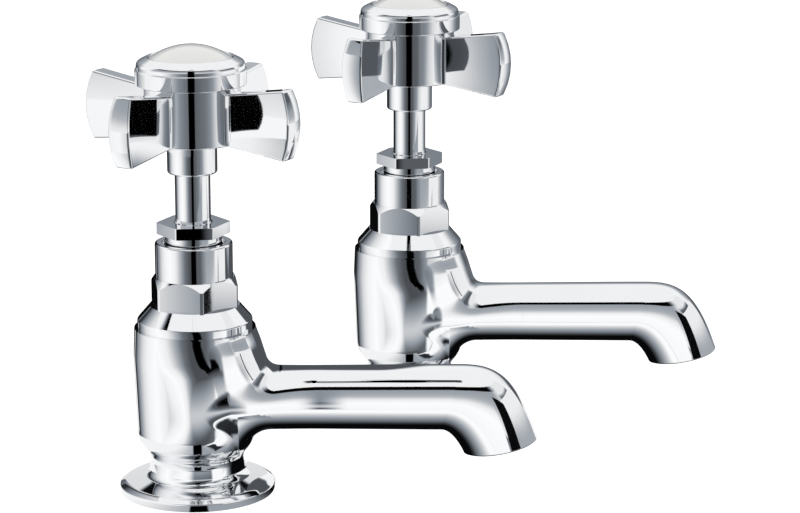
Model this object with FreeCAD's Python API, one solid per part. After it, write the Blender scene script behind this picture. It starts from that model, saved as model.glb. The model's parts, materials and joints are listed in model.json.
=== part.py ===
"""A pair of bath pillar taps with screw-down valves and four-armed crossheads.

Each tap is modelled about its own upright axis. Its spout points along +X, +Z is up, and z = 0 is the
top of the bath rim that its flange stands on. The hot tap's axis is the origin. All lengths are in mm.
"""
import FreeCAD
import Part
import math
import os

V = FreeCAD.Vector

# Where the taps stand
cold_tap_x = 68.5
cold_tap_y = 108.0
overrun = 1.0                    # how far a cutting tool runs past what it cuts
thread_clearance = 0.05          # between two plain cylinders that stand for a thread
running_clearance = 0.05         # round the turning spindle
seat_gap = 0.05                  # between the closed rubber washer and its seat
part_gap = 0.1                   # round a piece that lies loose in its recess
corner_room_share = 0.49         # how much of its shorter side an outline's rounded corner may take

# Body casting
body_height = 54.3
body_belly_r = 19.75
body_belly_z = 44.0
body_top_r = 19.3
body_foot_r = 18.75
body_foot_z = 17.4
body_foot_round = 15.0
waist_r = 14.6
waist_z = 12.2
waist_round = 1.5
neck_foot_r = 15.5
neck_foot_z = 6.0
neck_foot_round = 2.5
flange_r = 25.0
flange_rim_z = 2.6
flange_shoulder_r = 23.0
flange_shoulder_z = 3.9
flange_shoulder_round = 4.0
flange_underside_r = 24.7
rim_round = 0.6
foot_round = 0.6
tail_r = 13.2
tail_length = 55.0
tail_chamfer = 1.2
thread_pitch = 1.814
thread_depth = 1.16
thread_turns = 28

# Waterway in the body
inlet_r = 8.5
inlet_top_z = 19.5
seat_hole_r = 7.0
seat_z = 26.0
seat_lip_r = 8.8
seat_lip_height = 2.6
headwork_thread_r = 13.0
passage_r = 6.8

# Spout
spout_axis_z = 30.8
spout_root_r = 9.95
spout_bend_r = 10.5
spout_straight = 77.0
crown_bend_x = 83.8
throat_bend_x = 78.2
crown_lead = 11.1
crown_drop = 23.2
crown_end_angle = 71.3
throat_lead = 3.9
throat_pull_share = 0.9
mouth_outer_x = 109.4
mouth_outer_z = 17.35
mouth_inner_x = 85.6
mouth_inner_z = 12.7
mouth_lip = 1.7
mouth_side_r = 11.8
elbow_stations = 7

# Flare that carries the spout's root into the barrel, and the slanted wall above it
flare_start_x = 4.0
flare_end_x = 40.0
flare_side_r = 18.6
flare_ease_share = 1.15
gusset_start_x = 14.0
gusset_length = 11.0
gusset_drop = 9.5
gusset_power = 2.7
shoulder_top_shift = 0.2
shoulder_top_r = 19.0
shoulder_foot_shift = 11.9
shoulder_foot_r = 15.2
crease_round = 2.6
oval_points = 12
flare_station_shares = (0, 0.14, 0.28, 0.34, 0.4, 0.47, 0.55, 0.66, 0.78, 0.89, 1)
straight_station_shares = (0.3, 0.6, 0.85)
passage_station_shares = (0, 0.25, 0.5, 0.75, 0.92)

# Headwork: threaded skirt, flange and cone, hexagon, barrel
skirt_depth = 12.3
headwork_flange_r = 18.3
headwork_band_height = 2.7
headwork_flange_round = 0.9
cone_top_r = 14.3
cone_height = 4.7
headwork_flats = 25.6
headwork_corner_r = 14.1
headwork_hex_height = 9.2
headwork_corner_angle = -73.0
hex_chamfer = 1.3
hex_chamfer_angle = 55.0
headwork_barrel_r = 12.3
headwork_barrel_height = 11.1
barrel_chamfer = 0.7
foot_chamber_r = 9.6
foot_chamber_height = 13.0
spindle_thread_r = 6.8
nut_thread_length = 12.0
relief_r = 7.4
relief_height = 7.0
stuffing_r = 9.0
stuffing_mouth_r = 10.0
stuffing_mouth_depth = 1.7
headwork_washer_r = 16.5
headwork_washer_thickness = 1.4

# Gland
packing_ring_thickness = 1.0
packing_thickness = 4.0
gland_neck_length = 5.6
gland_flats = 20.3
gland_hex_height = 3.7
gland_corner_angle = 5.5
gland_chamfer = 0.5

# Spindle and what it carries
rod_r = 5.6
rod_above_gland = 15.9
spindle_foot_r = 8.6
foot_chamfer = 0.8
valve_lift = 6.25
stop_room = 0.3
tang_flats = 8.0
tang_length = 7.7
tang_corner_angle = 45.0
rod_in_handle = 7.8
screw_r = 2.4
screw_length = 12.0
screw_head_r = 6.4
screw_head_height = 2.6
screw_slot_width = 1.2
screw_slot_depth = 1.1

# Jumper, washer and nut
jumper_plate_r = 8.8
jumper_plate_thickness = 2.5
jumper_stem_r = 2.9
jumper_stem_length = 9.5
jumper_stud_r = 2.0
washer_r = 9.3
washer_thickness = 4.0
jumper_nut_flats = 7.0
jumper_nut_height = 2.6
jumper_stud_reach = 0.8

# Crosshead
collar_r = 7.9
collar_height = 10.15
collar_round = 0.8
hub_r = 15.5
hub_height = 18.15
hub_round = 0.5
cap_band_r = 17.5
cap_band_height = 4.95
cap_band_round = 0.35
head_pocket_r = 7.2
head_pocket_depth = 6.0
cap_pocket_r = 13.35
arm_thickness = 6.05
arm_reach = 39.0
arm_end_bow = 2.7
arm_root_top = 16.55
arm_root_drop = 0.1
arm_tip_top = 19.5
arm_tip_drop = 2.5
arm_root_swell = 0.15
arm_tip_swell = 0.85
arm_edge_round = 0.6
arm_root_round = 2.2
first_arm_angle = -31.0
arm_count = 4

# Index ring and porcelain dome
ring_r = 17.05
ring_wall_height = 2.05
ring_shoulder_round = 1.7
ring_height = 3.95
ring_inner_lip = 0.5
ring_skirt_length = 7.0
ring_bore_r = 11.0
ring_shelf_drop = 0.9
dome_r = 13.1
dome_edge_height = 1.4
dome_rise = 4.4

# Fixings under the bath rim
deck_seal_outer_r = 21.0
deck_seal_thickness = 1.5
rim_room = 18.0
clamp_washer_r = 20.0
clamp_washer_thickness = 2.0
backnut_flats = 36.0
backnut_height = 8.0
backnut_flange_r = 20.0
backnut_flange_height = 1.6

# Levels that follow from the heights above
flange_top_z = body_height + headwork_band_height
cone_top_z = flange_top_z + cone_height
hex_top_z = cone_top_z + headwork_hex_height
barrel_top_z = hex_top_z + headwork_barrel_height
skirt_foot_z = body_height - skirt_depth
thread_foot_z = skirt_foot_z + foot_chamber_height
thread_top_z = thread_foot_z + nut_thread_length
relief_top_z = thread_top_z + relief_height
packing_foot_z = relief_top_z + packing_ring_thickness
gland_foot_z = packing_foot_z + packing_thickness
gland_hex_z = gland_foot_z + gland_neck_length
gland_top_z = gland_hex_z + gland_hex_height
collar_foot_z = gland_top_z + rod_above_gland
hub_foot_z = collar_foot_z + collar_height
cap_band_z = hub_foot_z + hub_height
hub_top_z = cap_band_z + cap_band_height
washer_foot_z = seat_z + seat_gap
plate_foot_z = washer_foot_z + washer_thickness
plate_top_z = plate_foot_z + jumper_plate_thickness
spindle_foot_z = plate_top_z + running_clearance
spindle_shoulder_z = thread_foot_z - valve_lift - stop_room
tang_foot_z = collar_foot_z + rod_in_handle
tang_top_z = tang_foot_z + tang_length
web_top_z = tang_top_z + part_gap
ring_top_z = hub_top_z + ring_height
shelf_z = ring_top_z - ring_shelf_drop - dome_edge_height
clamp_top_z = -rim_room
backnut_top_z = clamp_top_z - clamp_washer_thickness


def rounded_wire(corners):
    """Closed wire in the XZ plane: corners are (r, z) or (r, z, radius of the arc that rounds it)."""
    points = [V(c[0], 0, c[1]) for c in corners]
    radii = [c[2] if len(c) > 2 else 0 for c in corners]
    count = len(points)
    starts, ends, middles = [], [], []
    for i, point in enumerate(points):
        to_last = points[i - 1] - point
        to_next = points[(i + 1) % count] - point
        room = min(to_last.Length, to_next.Length)
        to_last.normalize()
        to_next.normalize()
        half_angle = to_last.getAngle(to_next) / 2
        reach = min(radii[i] / math.tan(half_angle), room * corner_room_share) if radii[i] else 0
        starts.append(point + to_last * reach)
        ends.append(point + to_next * reach)
        radius = reach * math.tan(half_angle)
        inward = to_last + to_next
        if reach:
            inward.normalize()
            middles.append(point + inward * (radius / math.sin(half_angle) - radius))
        else:
            middles.append(point)
    edges = []
    for i in range(count):
        if (ends[i] - starts[i]).Length > 0:
            edges.append(Part.Arc(starts[i], middles[i], ends[i]).toShape())
        edges.append(Part.LineSegment(ends[i], starts[(i + 1) % count]).toShape())
    return Part.Wire(edges)


def turned(corners):
    """Solid turned about the Z axis from a closed half outline."""
    return Part.Face(rounded_wire(corners)).revolve(V(0, 0, 0), V(0, 0, 1), 360)


def ring(inner_r, outer_r, low_z, high_z):
    """Plain ring about the Z axis."""
    return turned([(inner_r, low_z), (outer_r, low_z), (outer_r, high_z), (inner_r, high_z)])


def rod(r, low_z, high_z):
    """Plain cylinder about the Z axis."""
    return Part.makeCylinder(r, high_z - low_z, V(0, 0, low_z))


def prism(sides, flats, low_z, high_z, corner_angle):
    """Regular prism about the Z axis, by its width across flats and the direction of one corner."""
    corner_r = flats / 2 / math.cos(math.pi / sides)
    corners = []
    for i in range(sides + 1):
        angle = math.radians(corner_angle + 360 * i / sides)
        corners.append(V(corner_r * math.cos(angle), corner_r * math.sin(angle), low_z))
    return Part.Face(Part.makePolygon(corners)).extrude(V(0, 0, high_z - low_z))


def oval_wire(centre, across, high_reach, low_reach, side_r):
    """Closed oval about centre: its reaches along the direction across and against it, side_r along Y."""
    points = []
    for i in range(oval_points):
        angle = 2 * math.pi * i / oval_points
        reach = high_reach if math.cos(angle) > 0 else low_reach
        points.append(centre + across * (reach * math.cos(angle)) + V(0, side_r * math.sin(angle), 0))
    curve = Part.BSplineCurve()
    curve.interpolate(points, PeriodicFlag=True)
    return Part.Wire([curve.toShape()])


def bezier_point(points, t):
    """Point at share t of a cubic curve."""
    first, second, third, last = points
    s = 1 - t
    return first * s ** 3 + second * (3 * s * s * t) + third * (3 * s * t * t) + last * t ** 3


def elbow_section(t, wall, wall_growth):
    """Oval across the spout's bend at share t, drawn in by a wall that grows by wall_growth."""
    end = math.radians(crown_end_angle)
    crown_z = spout_axis_z + spout_bend_r
    throat_z = spout_axis_z - spout_bend_r
    crown = [V(crown_bend_x, 0, crown_z), V(crown_bend_x + crown_lead, 0, crown_z),
             V(mouth_outer_x - crown_drop * math.cos(end), 0, mouth_outer_z + crown_drop * math.sin(end)),
             V(mouth_outer_x, 0, mouth_outer_z)]
    throat_corner = V(throat_bend_x + throat_lead, 0, throat_z)
    mouth_inner = V(mouth_inner_x, 0, mouth_inner_z)
    throat = [V(throat_bend_x, 0, throat_z), throat_corner,
              throat_corner * (1 - throat_pull_share) + mouth_inner * throat_pull_share, mouth_inner]
    high = bezier_point(crown, t)
    low = bezier_point(throat, t)
    across = high - low
    reach = across.Length / 2
    across.normalize()
    side = spout_bend_r + (mouth_side_r - spout_bend_r) * t
    thickness = wall + wall_growth * t
    return oval_wire((high + low) / 2, across, reach - thickness, reach - thickness, side - thickness)


def upright_section(x, high_r, low_r, side_r):
    """Oval across the straight spout at x."""
    return oval_wire(V(x, 0, spout_axis_z), V(0, 0, 1), high_r, low_r, side_r)


def spout_r(x):
    """Radius of the straight spout, which thickens a little towards its bend."""
    return spout_root_r + (spout_bend_r - spout_root_r) * x / spout_straight


def flare_sections():
    """Root of the spout: it widens sideways into the barrel's flanks and drops to the waist below."""
    sections = []
    for share in flare_station_shares:
        x = flare_start_x + (flare_end_x - flare_start_x) * share
        plain = spout_r(x)
        fade = (1 - share) ** 2 * (1 + flare_ease_share * share)
        side = plain + (flare_side_r - plain) * fade
        along = min(max((x - gusset_start_x) / gusset_length, 0), 1)
        low = plain + gusset_drop * (1 - along) ** gusset_power
        sections.append(upright_section(x, plain, low, side))
    return sections


def spout_blank():
    """Outside of the whole spout, from inside the barrel to the mouth."""
    straight = []
    for share in straight_station_shares:
        x = flare_end_x + (spout_straight - flare_end_x) * share
        straight.append(upright_section(x, spout_r(x), spout_r(x), spout_r(x)))
    bend = [elbow_section(i / (elbow_stations - 1), 0, 0) for i in range(elbow_stations)]
    return Part.makeLoft(flare_sections() + straight + bend, True)


def spout_passage():
    """Waterway through the spout: plain along the straight, widening round the bend to the lip."""
    start_x = seat_lip_r + overrun
    straight = []
    for share in passage_station_shares:
        x = start_x + (spout_straight - start_x) * share
        straight.append(upright_section(x, passage_r, passage_r, passage_r))
    wall = spout_bend_r - passage_r
    bend = [elbow_section(i / (elbow_stations - 1), wall, mouth_lip - wall) for i in range(elbow_stations)]
    return Part.makeLoft(straight + bend, True)


def body_shoulder():
    """Slanted wall that leans from the barrel's top rim out to the spout's root."""
    top = Part.makeCircle(shoulder_top_r, V(shoulder_top_shift, 0, body_height))
    foot = Part.makeCircle(shoulder_foot_r, V(shoulder_foot_shift, 0, spout_axis_z))
    return Part.makeLoft([Part.Wire(foot), Part.Wire(top)], True, True)


def tail_thread():
    """Corners of the tail's thread as rings of its pitch, from the foot upwards."""
    low_z = -tail_length + 2 * tail_chamfer
    corners = [(tail_r, -tail_length, tail_chamfer), (tail_r, low_z)]
    for i in range(thread_turns):
        groove_z = low_z + thread_pitch * i
        corners += [(tail_r - thread_depth, groove_z + thread_pitch / 2), (tail_r, groove_z + thread_pitch)]
    return corners


def body():
    """One casting: flange, waist, barrel, spout and threaded tail, with the waterway cut through it."""
    casting = turned([
        (0, -tail_length), *tail_thread(), (tail_r, deck_seal_thickness),
        (deck_seal_outer_r + part_gap, deck_seal_thickness), (deck_seal_outer_r + part_gap, 0),
        (flange_underside_r, 0, foot_round), (flange_r, flange_rim_z, rim_round),
        (flange_shoulder_r, flange_shoulder_z, flange_shoulder_round),
        (neck_foot_r, neck_foot_z, neck_foot_round), (waist_r, waist_z, waist_round),
        (body_foot_r, body_foot_z, body_foot_round), (body_belly_r, body_belly_z, body_height),
        (body_top_r, body_height), (0, body_height)])
    casting = casting.fuse([body_shoulder(), spout_blank()]).removeSplitter()
    creases = [edge for edge in casting.Edges
               if edge.CenterOfMass.x > neck_foot_r and spout_axis_z < edge.CenterOfMass.z < body_belly_z
               and abs(edge.CenterOfMass.y) > crease_round]
    casting = casting.makeFillet(crease_round, creases)
    waterway = turned([
        (0, -tail_length - overrun), (inlet_r, -tail_length - overrun), (inlet_r, inlet_top_z),
        (seat_hole_r, inlet_top_z + inlet_r - seat_hole_r), (seat_hole_r, seat_z), (seat_lip_r, seat_z),
        (seat_lip_r, seat_z - seat_lip_height),
        (headwork_thread_r + thread_clearance, seat_z - seat_lip_height),
        (headwork_thread_r + thread_clearance, body_height - headwork_washer_thickness),
        (headwork_washer_r + part_gap, body_height - headwork_washer_thickness),
        (headwork_washer_r + part_gap, body_height + overrun), (0, body_height + overrun)])
    return casting.cut([waterway, spout_passage()])


def deck_seal():
    """Foam ring in the recess under the flange."""
    return ring(tail_r + part_gap, deck_seal_outer_r, 0, deck_seal_thickness)


def clamp_washer():
    """Fibre washer between the bath rim and the backnut."""
    return ring(tail_r + part_gap, clamp_washer_r, backnut_top_z, clamp_top_z)


def backnut():
    """Flanged hexagon nut that clamps the tap to the bath rim."""
    nut = prism(6, backnut_flats, backnut_top_z - backnut_height, backnut_top_z, 0)
    flange = rod(backnut_flange_r, backnut_top_z - backnut_flange_height, backnut_top_z)
    bore = rod(tail_r + thread_clearance, backnut_top_z - backnut_height - overrun,
               backnut_top_z + overrun)
    return nut.fuse(flange).cut(bore)


def headwork():
    """Bonnet: threaded skirt, seating flange, cone, hexagon and the barrel that holds the gland."""
    bore_r = spindle_thread_r + running_clearance
    turned_part = turned([
        (foot_chamber_r, skirt_foot_z), (headwork_thread_r, skirt_foot_z), (headwork_thread_r, body_height),
        (headwork_flange_r, body_height), (headwork_flange_r, flange_top_z, headwork_flange_round),
        (cone_top_r, cone_top_z), (headwork_barrel_r, cone_top_z), (headwork_barrel_r, barrel_top_z,
                                                                    barrel_chamfer),
        (stuffing_mouth_r, barrel_top_z), (stuffing_mouth_r, barrel_top_z - stuffing_mouth_depth),
        (stuffing_r + thread_clearance, barrel_top_z - stuffing_mouth_depth),
        (stuffing_r + thread_clearance, relief_top_z), (relief_r, relief_top_z), (relief_r, thread_top_z),
        (bore_r, thread_top_z), (bore_r, thread_foot_z), (foot_chamber_r, thread_foot_z)])
    hexagon = prism(6, headwork_flats, cone_top_z - hex_chamfer, hex_top_z, headwork_corner_angle)
    chamfer_drop = hex_chamfer * math.tan(math.radians(hex_chamfer_angle))
    crown_r = headwork_corner_r - hex_chamfer
    blank = turned([
        (headwork_barrel_r - overrun, cone_top_z - hex_chamfer),
        (headwork_corner_r, cone_top_z - hex_chamfer),
        (headwork_corner_r, hex_top_z - chamfer_drop), (crown_r, hex_top_z),
        (headwork_barrel_r - overrun, hex_top_z)])
    return turned_part.fuse(hexagon.common(blank)).removeSplitter()


def headwork_washer():
    """Fibre washer in the recess of the body's top, under the headwork's flange."""
    return ring(headwork_thread_r + part_gap, headwork_washer_r,
                body_height - headwork_washer_thickness, body_height)


def packing_ring():
    """Brass ring that the gland packing rests on."""
    return ring(rod_r + part_gap, stuffing_r, relief_top_z, packing_foot_z)


def gland_packing():
    """Packing that seals the spindle."""
    return ring(rod_r + running_clearance, stuffing_r, packing_foot_z, gland_foot_z)


def gland_nut():
    """Nut whose threaded neck presses on the packing."""
    neck = rod(stuffing_r, gland_foot_z, gland_hex_z)
    nut = prism(6, gland_flats, gland_hex_z, gland_top_z, gland_corner_angle)
    bore = turned([
        (0, gland_foot_z - overrun), (rod_r + part_gap, gland_foot_z - overrun),
        (rod_r + part_gap, gland_top_z - gland_chamfer), (rod_r + part_gap + gland_chamfer, gland_top_z),
        (rod_r + part_gap + gland_chamfer, gland_top_z + overrun), (0, gland_top_z + overrun)])
    return neck.fuse(nut).cut(bore)


def spindle():
    """Spindle: foot with a socket for the jumper, threaded length, polished rod, square tang."""
    thread_length_top = relief_top_z - valve_lift - stop_room
    turned_part = turned([
        (0, spindle_foot_z), (spindle_foot_r - foot_chamfer, spindle_foot_z),
        (spindle_foot_r, spindle_foot_z + foot_chamfer), (spindle_foot_r, spindle_shoulder_z),
        (spindle_thread_r, spindle_shoulder_z), (spindle_thread_r, thread_length_top),
        (rod_r, thread_length_top), (rod_r, tang_foot_z), (0, tang_foot_z)])
    tang = prism(4, tang_flats, tang_foot_z, tang_top_z, tang_corner_angle)
    tang = tang.common(rod(rod_r, tang_foot_z, tang_top_z))
    socket = rod(jumper_stem_r + running_clearance, spindle_foot_z - overrun,
                 plate_top_z + jumper_stem_length + stop_room)
    tapped = rod(screw_r + thread_clearance, web_top_z - screw_length - stop_room, tang_top_z + overrun)
    return turned_part.fuse(tang).cut([socket, tapped])


def jumper():
    """Jumper valve: stem in the spindle's foot, plate, and the stud that carries the rubber washer."""
    stud_foot_z = washer_foot_z - jumper_nut_height - jumper_stud_reach
    return turned([
        (0, stud_foot_z), (jumper_stud_r, stud_foot_z), (jumper_stud_r, plate_foot_z),
        (jumper_plate_r, plate_foot_z), (jumper_plate_r, plate_top_z), (jumper_stem_r, plate_top_z),
        (jumper_stem_r, plate_top_z + jumper_stem_length), (0, plate_top_z + jumper_stem_length)])


def tap_washer():
    """Rubber washer that closes on the seat."""
    return ring(jumper_stud_r + thread_clearance, washer_r, washer_foot_z, plate_foot_z)


def jumper_nut():
    """Small nut that holds the washer on its stud."""
    nut = prism(6, jumper_nut_flats, washer_foot_z - jumper_nut_height, washer_foot_z, 0)
    bore = rod(jumper_stud_r + thread_clearance, washer_foot_z - jumper_nut_height - overrun,
               washer_foot_z + overrun)
    return nut.cut(bore)


def arm_section(x, foot_z, top_z, swell):
    """Section of a paddle across X: flat above and below, with sides that bulge to their middle."""
    half = arm_thickness / 2
    middle_z = (foot_z + top_z) / 2
    foot, top = [V(x, -half, foot_z), V(x, half, foot_z)], [V(x, -half, top_z), V(x, half, top_z)]
    near = Part.Arc(foot[0], V(x, -half - swell, middle_z), top[0])
    far = Part.Arc(top[1], V(x, half + swell, middle_z), foot[1])
    sides = [near, Part.LineSegment(top[0], top[1]), far, Part.LineSegment(foot[1], foot[0])]
    return Part.Wire([side.toShape() for side in sides])


def arm():
    """One paddle along +X: it deepens and swells outwards, and a cylinder across it bounds its end."""
    inner_x = cap_pocket_r / 2
    tip_rise, tip_fall = arm_tip_top - arm_root_top, arm_tip_drop + arm_root_drop
    blank = []
    for x in (inner_x, arm_reach + overrun):
        share = (x - hub_r) / (arm_reach - arm_end_bow - hub_r)
        blank.append(arm_section(x, hub_foot_z + arm_root_drop - tip_fall * share,
                                 hub_foot_z + arm_root_top + tip_rise * share,
                                 arm_root_swell + (arm_tip_swell - arm_root_swell) * max(share, 0)))
    half_depth = (arm_tip_top + arm_tip_drop) / 2
    end_r = (half_depth ** 2 + arm_end_bow ** 2) / (2 * arm_end_bow)
    end = Part.makeCylinder(end_r, 2 * arm_thickness,
                            V(arm_reach - end_r, -arm_thickness, hub_foot_z + arm_tip_top - half_depth),
                            V(0, 1, 0))
    paddle = Part.makeLoft(blank, True, True).common(end)
    outer_edges = [edge for edge in paddle.Edges if edge.CenterOfMass.x > inner_x + overrun]
    return paddle.makeFillet(arm_edge_round, outer_edges)


def crosshead():
    """Handle casting: collar, hub, cap band and the four arms, hollow above for its screw and cap."""
    casting = turned([
        (0, collar_foot_z), (collar_r, collar_foot_z, collar_round), (collar_r, hub_foot_z),
        (hub_r, hub_foot_z, hub_round), (hub_r, cap_band_z), (cap_band_r, cap_band_z, cap_band_round),
        (cap_band_r, hub_top_z, cap_band_round), (0, hub_top_z)])
    arms = []
    for i in range(arm_count):
        turned_arm = arm()
        turned_arm.rotate(V(0, 0, 0), V(0, 0, 1), first_arm_angle + 360 * i / arm_count)
        arms.append(turned_arm)
    casting = casting.fuse(arms)
    roots = [edge for edge in casting.Edges
             if abs(math.hypot(edge.CenterOfMass.x, edge.CenterOfMass.y) - hub_r) < part_gap
             and hub_height / 2 < edge.Length < arm_root_top]
    casting = casting.makeFillet(arm_root_round, roots)
    bore = turned([
        (0, collar_foot_z - overrun), (rod_r + part_gap, collar_foot_z - overrun),
        (rod_r + part_gap, tang_foot_z), (0, tang_foot_z)])
    socket = prism(4, tang_flats + part_gap, tang_foot_z - overrun, web_top_z + overrun,
                   tang_corner_angle)
    pocket = turned([
        (0, web_top_z), (head_pocket_r, web_top_z), (head_pocket_r, web_top_z + head_pocket_depth),
        (cap_pocket_r, web_top_z + head_pocket_depth), (cap_pocket_r, hub_top_z + overrun),
        (0, hub_top_z + overrun)])
    return casting.cut([bore, socket, pocket])


def handle_screw():
    """Slotted screw that draws the crosshead down on the spindle's shoulder."""
    shank = rod(screw_r, web_top_z - screw_length, web_top_z)
    head = rod(screw_head_r, web_top_z, web_top_z + screw_head_height)
    slot = Part.makeBox(2 * (screw_head_r + overrun), screw_slot_width, screw_slot_depth + overrun,
                        V(-screw_head_r - overrun, -screw_slot_width / 2,
                          web_top_z + screw_head_height - screw_slot_depth))
    return shank.fuse(head).cut(slot)


def index_ring():
    """Chrome cap that screws into the hub and holds the porcelain dome."""
    return turned([
        (ring_bore_r, hub_top_z - ring_skirt_length), (cap_pocket_r - thread_clearance,
                                                       hub_top_z - ring_skirt_length),
        (cap_pocket_r - thread_clearance, hub_top_z), (ring_r, hub_top_z),
        (ring_r, hub_top_z + ring_wall_height, ring_shoulder_round),
        (dome_r + part_gap + ring_inner_lip, ring_top_z, ring_inner_lip),
        (dome_r + part_gap, ring_top_z - ring_shelf_drop / 2), (dome_r + part_gap, shelf_z),
        (ring_bore_r, shelf_z)])


def index_dome():
    """White porcelain dome: a spherical cap on a short edge."""
    edge_z = shelf_z + dome_edge_height
    sphere_r = (dome_r ** 2 + dome_rise ** 2) / (2 * dome_rise)
    edge = rod(dome_r, shelf_z, edge_z)
    ball = Part.makeSphere(sphere_r, V(0, 0, edge_z + dome_rise - sphere_r))
    cap = ball.common(rod(dome_r, edge_z, edge_z + dome_rise + overrun))
    return edge.fuse(cap).removeSplitter()


PIECES = {
    "body": body, "deck_seal": deck_seal, "clamp_washer": clamp_washer, "backnut": backnut,
    "headwork": headwork, "headwork_washer": headwork_washer, "packing_ring": packing_ring,
    "gland_packing": gland_packing, "gland_nut": gland_nut, "spindle": spindle, "jumper": jumper,
    "tap_washer": tap_washer, "jumper_nut": jumper_nut, "crosshead": crosshead,
    "handle_screw": handle_screw, "index_ring": index_ring, "index_dome": index_dome,
}
TAPS = {"hot": V(0, 0, 0), "cold": V(cold_tap_x, cold_tap_y, 0)}

os.makedirs("parts", exist_ok=True)
for piece, make in PIECES.items():
    shape = make()
    print(piece, "valid" if shape.isValid() else "NOT VALID", "solids", len(shape.Solids),
          "volume %.1f" % shape.Volume)
    for tap, place in TAPS.items():
        copy = shape.copy()
        copy.translate(place)
        copy.exportStep("parts/%s_%s.step" % (tap, piece))
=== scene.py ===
"""Looks of a pair of bath pillar taps: polished chrome castings, threaded tails and porcelain domes.

Each tap's pieces are surfaces worked out about its own upright axis in mm, with the spout along +X and
z = 0 on the bath rim, and are then placed in metres where the frame says that the tap stands.
"""
import json
import math
import bpy
import numpy as np
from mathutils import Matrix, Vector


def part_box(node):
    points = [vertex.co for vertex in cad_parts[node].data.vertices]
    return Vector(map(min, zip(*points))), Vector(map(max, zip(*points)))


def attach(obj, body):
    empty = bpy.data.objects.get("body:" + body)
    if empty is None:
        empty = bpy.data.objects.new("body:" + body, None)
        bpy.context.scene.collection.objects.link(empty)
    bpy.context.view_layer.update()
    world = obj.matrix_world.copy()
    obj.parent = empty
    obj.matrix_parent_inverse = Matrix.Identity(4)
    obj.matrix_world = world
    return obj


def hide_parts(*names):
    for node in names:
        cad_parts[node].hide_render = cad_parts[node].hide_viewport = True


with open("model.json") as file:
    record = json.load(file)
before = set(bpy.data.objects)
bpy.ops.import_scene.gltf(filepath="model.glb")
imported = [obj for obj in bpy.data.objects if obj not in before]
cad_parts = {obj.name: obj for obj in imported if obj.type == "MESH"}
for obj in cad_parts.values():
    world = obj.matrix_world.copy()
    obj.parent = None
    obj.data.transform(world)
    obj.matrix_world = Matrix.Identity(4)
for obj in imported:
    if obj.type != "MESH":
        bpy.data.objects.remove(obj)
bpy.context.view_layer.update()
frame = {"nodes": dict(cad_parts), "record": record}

MM = 0.001
TAPS = ("hot", "cold")


def axis_of(tap):
    """Place of a tap's upright axis on the rim plane, in metres."""
    low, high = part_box(tap + "_gland_nut")
    return np.array([(low[0] + high[0]) / 2, (low[1] + high[1]) / 2, 0.0])


def reach_of(piece):
    """Lowest level, highest level and radius of a round piece of the hot tap, in mm."""
    low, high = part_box("hot_" + piece)
    return low[2] / MM, high[2] / MM, (high[1] - low[1]) / 2 / MM


AXES = {tap: axis_of(tap) for tap in TAPS}

# Body: barrel, waist and flange
tail_foot_z, body_top_z, flange_r = reach_of("body")
body_top_r = 19.3
belly_r = 19.75
belly_z = 44.0
bulb_r = 18.75
bulb_z = 17.4
bulb_round = 15.0
waist_r = 14.6
waist_z = 12.2
waist_round = 4.5
neck_r = 15.5
neck_z = 6.0
neck_round = 3.0
rim_z = 2.6
rim_round = 0.6
shoulder_r = 23.0
shoulder_z = 3.9
shoulder_round = 4.0
underside_r = 24.7
underside_round = 0.6
root_foot_z = 11.0
recess_r = 21.1
recess_z = 1.5
tail_r = 13.2
thread_pitch = 1.814
thread_depth = 1.16
thread_top_z = 1.4
thread_flat = 0.12
thread_ring_share = 0.9
hair = 0.02
part_gap = 0.1

# Waterway
inlet_r = 8.5
inlet_top_z = 19.5
seat_hole_r = 7.0
seat_z = 26.0
seat_lip_r = 8.8
seat_lip_height = 2.6
headwork_bore_r = 13.05
washer_recess_r = 16.6
washer_recess_depth = 1.4
passage_r = 6.8
passage_start_x = headwork_bore_r + 1

# Spout
spout_z = 30.8
spout_root_r = 9.95
spout_bend_r = 10.5
spout_straight = 77.0
spout_start_x = 40.0
crown_start_x = 83.8
crown_lead = 11.1
crown_drop = 23.2
crown_angle = 71.3
throat_start_x = 78.2
throat_lead = 3.9
throat_share = 0.9
mouth_outer = (109.4, 17.35)
mouth_inner = (85.6, 12.7)
mouth_side_r = 11.8
mouth_wall = 1.7
lip_round = 0.5

# Flare from the barrel into the spout
flare_start_x = 4.0
flare_side_r = 18.6
flare_share = 1.15
gusset_start_x = 14.0
gusset_length = 11.0
gusset_drop = 9.5
gusset_power = 2.7
wall_top_shift = 0.2
wall_top_r = 19.0
wall_foot_shift = 11.9
wall_foot_r = 15.2
wall_lean = 0.9
wall_foot_lean = 0.5
wall_soft = 2.5
wall_soft_x = (1, 12)
wall_soft_depth = 6
crease_soft = 3.0
crease_soft_x = (2, 12)
crease_soft_z = (22, 32)
crease_foot_share = 0.2

# Rays that find the root's surface
ray_out = 9.0
ray_in = -16.0
ray_step = 0.5
ray_halvings = 28

# Headwork
skirt_foot_z, barrel_top_z, headwork_r = reach_of("headwork")
headwork_thread_r = 13.0
band_top_z = body_top_z + 2.7
cone_top_z = band_top_z + 4.7
cone_top_r = 14.3
hex_top_z = cone_top_z + 9.2
hex_flats = 25.6
hex_corner_r = 14.5
hex_corner_angle = -77.0
hex_foot_depth = 1.3
hex_chamfer_angle = 55.0
hex_sunk = 1.0
headwork_barrel_r = 12.3
headwork_round = 0.9
barrel_edge_round = 0.7
gland_mouth_r = 10.0
gland_mouth_depth = 1.7
gland_mouth_round = 0.2
stuffing_r = 9.05
stuffing_foot_z = 74.0
relief_r = 7.4
relief_foot_z = 67.0
nut_thread_r = 6.85
chamber_r = 9.6
chamber_top_z = 55.0

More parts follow.
